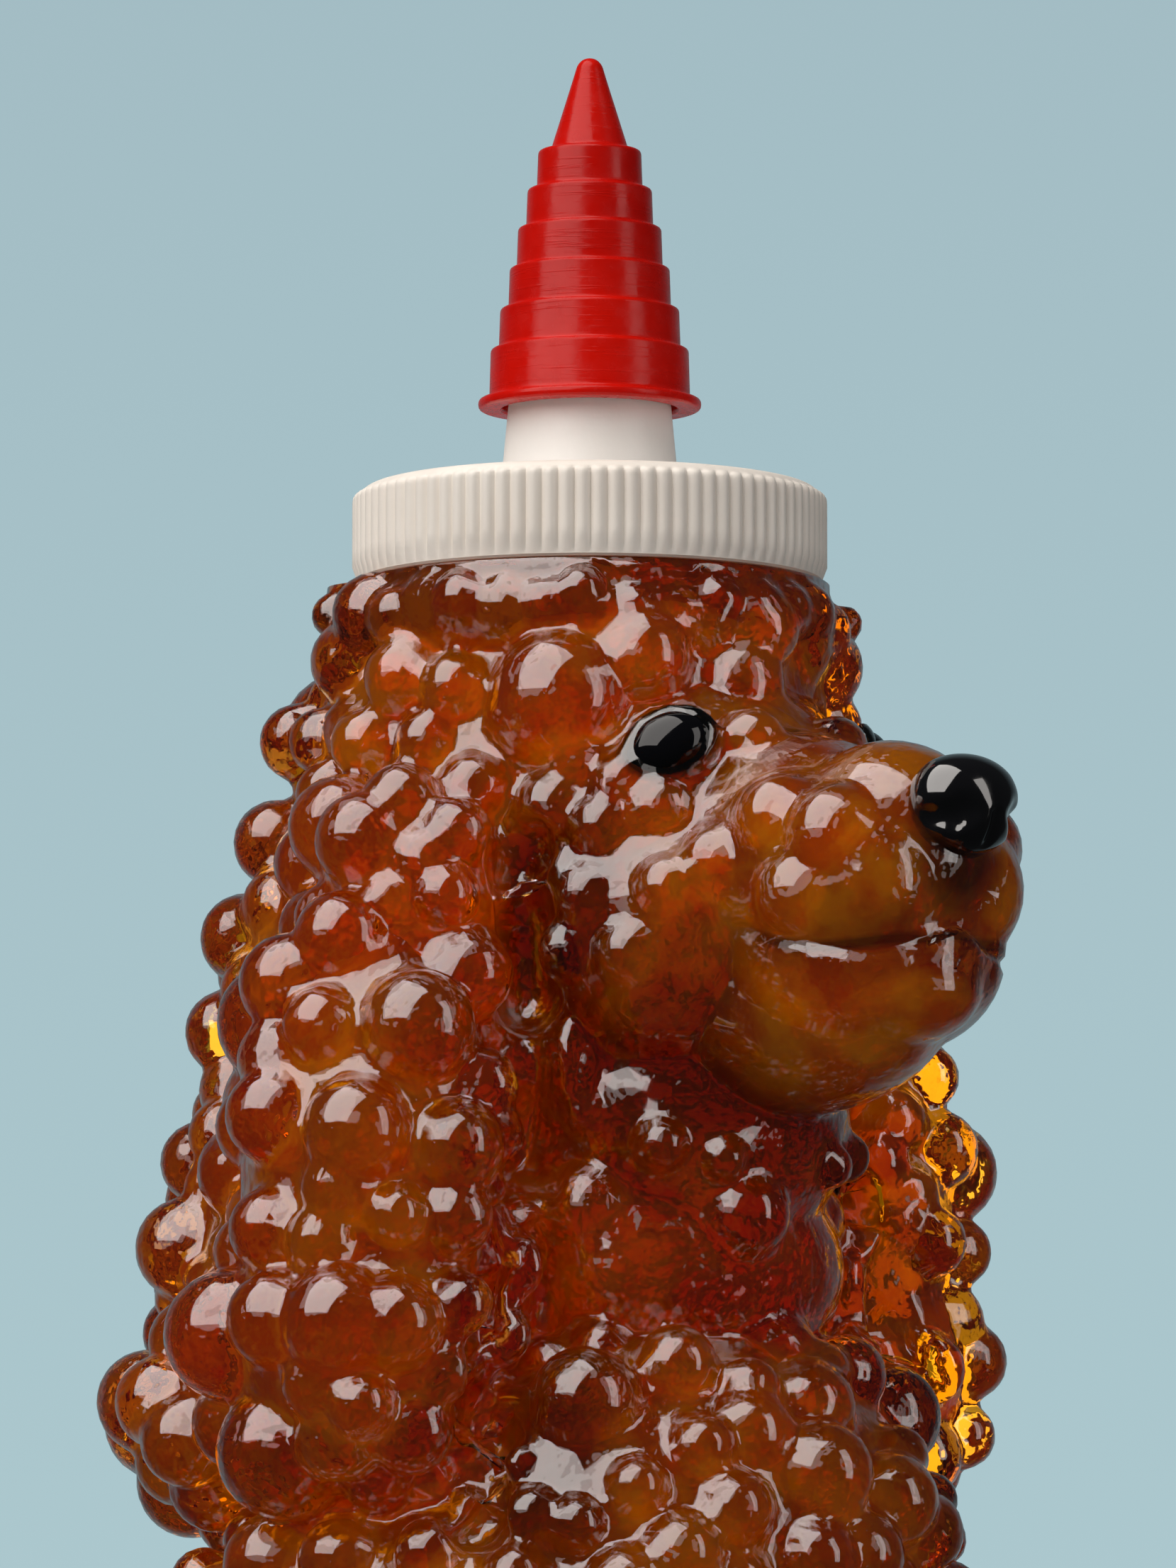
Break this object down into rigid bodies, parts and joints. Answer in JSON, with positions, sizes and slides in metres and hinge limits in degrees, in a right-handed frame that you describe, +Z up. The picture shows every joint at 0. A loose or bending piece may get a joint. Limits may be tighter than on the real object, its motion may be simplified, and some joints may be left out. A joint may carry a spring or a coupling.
{
  "type": "dog-shaped honey bottle",
  "caption": "Squeeze bottle moulded as a sitting curly-coated poodle, full of honey, with a ribbed screw collar, a tapered spout and a stepped push-on cap.",
  "frame": {"origin": "centre of the flat base, on the axis of the neck", "axes": "+Z up along the neck's axis, -Y the way the dog faces, +X the dog's left side"},
  "size_m": [0.0867, 0.0968, 0.2023],
  "materials": {
    "clear_amber": "glossy clear plastic that takes its amber from the honey behind it",
    "honey_amber": "clear dark amber honey",
    "black_gloss": "high gloss",
    "foam": "matt foam",
    "warm_white": "satin moulded plastic",
    "cream": "satin moulded plastic with fine ribs",
    "cap_red": "satin red plastic, lightly scuffed"
  },
  "bodies": {
    "bottle": {"bottle": "clear_amber", "honey": "honey_amber", "eye_right": "black_gloss", "eye_left": "black_gloss", "nose": "black_gloss"},
    "liner": {"sealing_liner": "foam"},
    "spout": {"spout": "warm_white"},
    "collar": {"screw_collar": "cream"},
    "cap": {"spout_cap": "cap_red"}
  },
  "joints": [
    {"name": "closure_lift", "type": "slide", "parent": "bottle", "child": "liner", "axis": [0, 0, 1], "range_m": [0, 0.06]},
    {"name": "thread_rise", "type": "slide", "parent": "liner", "child": "spout", "axis": [0, 0, 1], "range_m": [0, 0.0033]},
    {"name": "collar_turn", "type": "hinge", "parent": "spout", "child": "collar", "pos_m": [0, 0, 0.1615], "axis": [0, 0, 1], "range_deg": [0, 396]},
    {"name": "cap_pull", "type": "slide", "parent": "spout", "child": "cap", "axis": [0, 0, 1], "range_m": [0, 0.035]}
  ],
  "couplings": [
    {"joint": "thread_rise", "follows": "collar_turn", "m_per_rad": 0.00047746}
  ]
}
